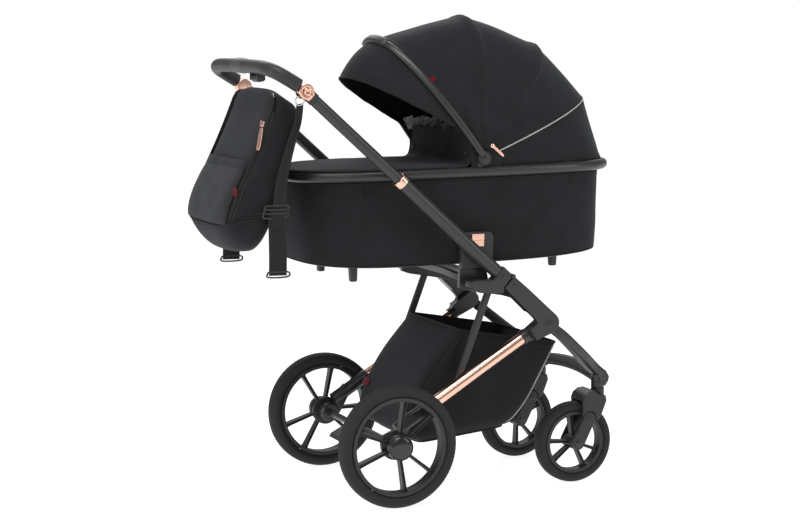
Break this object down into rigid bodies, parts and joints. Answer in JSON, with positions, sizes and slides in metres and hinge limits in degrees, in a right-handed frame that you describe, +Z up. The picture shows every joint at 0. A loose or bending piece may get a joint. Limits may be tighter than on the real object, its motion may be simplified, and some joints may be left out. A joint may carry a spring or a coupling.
{
  "type": "baby stroller",
  "caption": "Folding baby stroller with a lidded carrycot and segmented hood, telescoping tilting handlebar, sprung casters, basket and a hanging changing bag.",
  "frame": {"origin": "middle of the object's outer box in plan, on the ground plane under the tires", "axes": "+X towards the front casters and the carrycot's head end, +Y across to the left side, +Z up"},
  "size_m": [1.0071, 0.564, 1.1419],
  "materials": {
    "black_frame": "satin black powder coat",
    "rose_gold": "polished rose gold plating",
    "black_plastic": "fine grained moulded plastic",
    "foam_tire": "smooth foam tire skin",
    "charcoal_fabric": "tight woven water-repellent fabric",
    "black_webbing": "woven webbing",
    "grey_lining": "soft knitted lining",
    "black_leather": "grained synthetic leather with stitched seams"
  },
  "bodies": {
    "chassis": {"side_frame_left": "black_frame", "side_frame_right": "black_frame", "front_leg_left": "black_frame", "front_leg_right": "black_frame", "footrest_bar": "black_plastic", "cot_bridge": "black_frame", "adapter_left": "black_plastic", "adapter_right": "black_plastic", "basket": "charcoal_fabric"},
    "handle_lower": {"hinge_head_left": "black_frame", "hinge_head_right": "black_frame", "lower_tube_left": "black_frame", "lower_tube_right": "black_frame", "telescope_collar_left": "rose_gold", "telescope_collar_right": "rose_gold"},
    "handle_upper": {"upper_tube_left": "black_frame", "upper_tube_right": "black_frame", "tilt_collar_left": "rose_gold", "tilt_collar_right": "rose_gold"},
    "handle_grip": {"handlebar": "black_leather"},
    "trigger": {"fold_trigger": "black_plastic"},
    "tilt_press_left": {"tilt_button_left": "rose_gold"},
    "tilt_press_right": {"tilt_button_right": "rose_gold"},
    "bag": {"bag_body": "charcoal_fabric", "bag_strap_left": "black_webbing", "bag_strap_right": "black_webbing"},
    "rear_frame": {"rear_knuckle_left": "black_frame", "rear_knuckle_right": "black_frame", "rear_tube_left": "rose_gold", "rear_tube_right": "rose_gold", "hub_bracket_left": "black_frame", "hub_bracket_right": "black_frame", "rear_axle": "black_frame"},
    "struts": {"strut_left": "black_frame", "strut_right": "black_frame"},
    "brake": {"brake_pedal": "black_plastic"},
    "carrycot": {"cot_tub": "charcoal_fabric", "cot_rim": "black_frame", "mattress": "grey_lining", "apron": "charcoal_fabric"},
    "hood_front": {"hood_bar": "black_frame", "hood_visor": "charcoal_fabric", "hood_canopy": "charcoal_fabric"},
    "hoop_top": {"hood_hoop_top": "black_plastic"},
    "hoop_rear": {"hood_hoop_rear": "black_plastic"},
    "adapter_press_left": {"adapter_button_left": "rose_gold"},
    "adapter_press_right": {"adapter_button_right": "rose_gold"},
    "rear_wheel_left": {"rear_tire_left": "foam_tire", "rear_rim_left": "black_plastic"},
    "rear_wheel_right": {"rear_tire_right": "foam_tire", "rear_rim_right": "black_plastic"},
    "caster_left": {"caster_fork_left": "black_plastic"},
    "suspension_left": {"swing_arm_left": "black_plastic"},
    "front_wheel_left": {"front_tire_left": "foam_tire", "front_rim_left": "black_plastic"},
    "caster_right": {"caster_fork_right": "black_plastic"},
    "suspension_right": {"swing_arm_right": "black_plastic"},
    "front_wheel_right": {"front_tire_right": "foam_tire", "front_rim_right": "black_plastic"}
  },
  "joints": [
    {"name": "chassis_fold", "type": "hinge", "parent": "chassis", "child": "handle_lower", "pos_m": [0.17348, 0, 0.52903], "axis": [0, 1, 0], "range_deg": [0, 140], "deforming": ["bag_body", "bag_strap_left", "bag_strap_right"]},
    {"name": "handle_telescope", "type": "slide", "parent": "handle_lower", "child": "handle_upper", "axis": [0.7431, 0, -0.6691], "range_m": [-0.08, 0.03]},
    {"name": "handle_tilt", "type": "hinge", "parent": "handle_upper", "child": "handle_grip", "pos_m": [-0.34324, 0, 0.97141], "axis": [0, 1, 0], "range_deg": [-30, 45]},
    {"name": "trigger_press", "type": "slide", "parent": "handle_grip", "child": "trigger", "axis": [0, 0, 1], "range_m": [0, 0.003], "stiffness_N_per_m": 600, "springref_m": -0.001},
    {"name": "bag_hang", "type": "hinge", "parent": "handle_upper", "child": "bag", "pos_m": [-0.31351, 0, 0.94464], "axis": [0, 1, 0], "range_deg": [-140, 0]},
    {"name": "rear_leg_fold", "type": "hinge", "parent": "chassis", "child": "rear_frame", "pos_m": [0.2701, 0, 0.411], "axis": [0, 1, 0], "range_deg": [0, 26]},
    {"name": "strut_swing", "type": "hinge", "parent": "rear_frame", "child": "struts", "pos_m": [0.04903, 0, 0.27606], "axis": [0, 1, 0], "range_deg": [-4, 0]},
    {"name": "brake_press", "type": "hinge", "parent": "rear_frame", "child": "brake", "pos_m": [-0.1279, 0, 0.145], "axis": [0, 1, 0], "range_deg": [-18, 0]},
    {"name": "tilt_press_left", "type": "slide", "parent": "handle_upper", "child": "tilt_press_left", "axis": [0, -1, 0], "range_m": [0, 0.003], "stiffness_N_per_m": 600, "springref_m": -0.001},
    {"name": "tilt_press_right", "type": "slide", "parent": "handle_upper", "child": "tilt_press_right", "axis": [0, 1, 0], "range_m": [0, 0.003], "stiffness_N_per_m": 600, "springref_m": -0.001},
    {"name": "adapter_press_left", "type": "slide", "parent": "chassis", "child": "adapter_press_left", "axis": [0, -1, 0], "range_m": [0, 0.003], "stiffness_N_per_m": 600, "springref_m": -0.001},
    {"name": "adapter_press_right", "type": "slide", "parent": "chassis", "child": "adapter_press_right", "axis": [0, 1, 0], "range_m": [0, 0.003], "stiffness_N_per_m": 600, "springref_m": -0.001},
    {"name": "rear_wheel_spin_left", "type": "hinge", "parent": "rear_frame", "child": "rear_wheel_left", "pos_m": [-0.1279, 0.25, 0.145], "axis": [0, 1, 0], "continuous": true},
    {"name": "rear_wheel_spin_right", "type": "hinge", "parent": "rear_frame", "child": "rear_wheel_right", "pos_m": [-0.1279, -0.25, 0.145], "axis": [0, 1, 0], "continuous": true},
    {"name": "caster_swivel_left", "type": "hinge", "parent": "chassis", "child": "caster_left", "pos_m": [0.4441, 0.16, 0.22], "axis": [0, 0, 1], "continuous": true},
    {"name": "suspension_left", "type": "hinge", "parent": "caster_left", "child": "suspension_left", "pos_m": [0.4066, 0.16, 0.16], "axis": [0, 1, 0], "range_deg": [0, 10], "stiffness_Nm_per_rad": 60, "springref_deg": -3.44},
    {"name": "front_wheel_spin_left", "type": "hinge", "parent": "suspension_left", "child": "front_wheel_left", "pos_m": [0.3761, 0.16, 0.1], "axis": [0, 1, 0], "continuous": true},
    {"name": "caster_swivel_right", "type": "hinge", "parent": "chassis", "child": "caster_right", "pos_m": [0.4441, -0.16, 0.22], "axis": [0, 0, 1], "continuous": true},
    {"name": "suspension_right", "type": "hinge", "parent": "caster_right", "child": "suspension_right", "pos_m": [0.4066, -0.16, 0.16], "axis": [0, 1, 0], "range_deg": [0, 10], "stiffness_Nm_per_rad": 60, "springref_deg": -3.44},
    {"name": "front_wheel_spin_right", "type": "hinge", "parent": "suspension_right", "child": "front_wheel_right", "pos_m": [0.3761, -0.16, 0.1], "axis": [0, 1, 0], "continuous": true},
    {"name": "carrycot_lift", "type": "slide", "parent": "chassis", "child": "carrycot", "axis": [0, 0, 1], "range_m": [0, 0.6]},
    {"name": "hood_fold", "type": "hinge", "parent": "carrycot", "child": "hood_front", "pos_m": [0.1181, 0, 0.8075], "axis": [0, 1, 0], "range_deg": [0, 90], "deforming": ["hood_canopy"]},
    {"name": "hood_hoop_top_fold", "type": "hinge", "parent": "carrycot", "child": "hoop_top", "pos_m": [0.1181, 0, 0.8075], "axis": [0, 1, 0], "range_deg": [0, 54]},
    {"name": "hood_hoop_rear_fold", "type": "hinge", "parent": "carrycot", "child": "hoop_rear", "pos_m": [0.1181, 0, 0.8075], "axis": [0, 1, 0], "range_deg": [0, 24.4]}
  ],
  "couplings": [
    {"joint": "bag_hang", "follows": "chassis_fold", "ratio": -1},
    {"joint": "rear_leg_fold", "follows": "chassis_fold", "ratio": 0.185},
    {"joint": "strut_swing", "follows": "chassis_fold", "ratio": -0.028},
    {"joint": "hood_hoop_top_fold", "follows": "hood_fold", "ratio": 0.6},
    {"joint": "hood_hoop_rear_fold", "follows": "hood_fold", "ratio": 0.27}
  ]
}
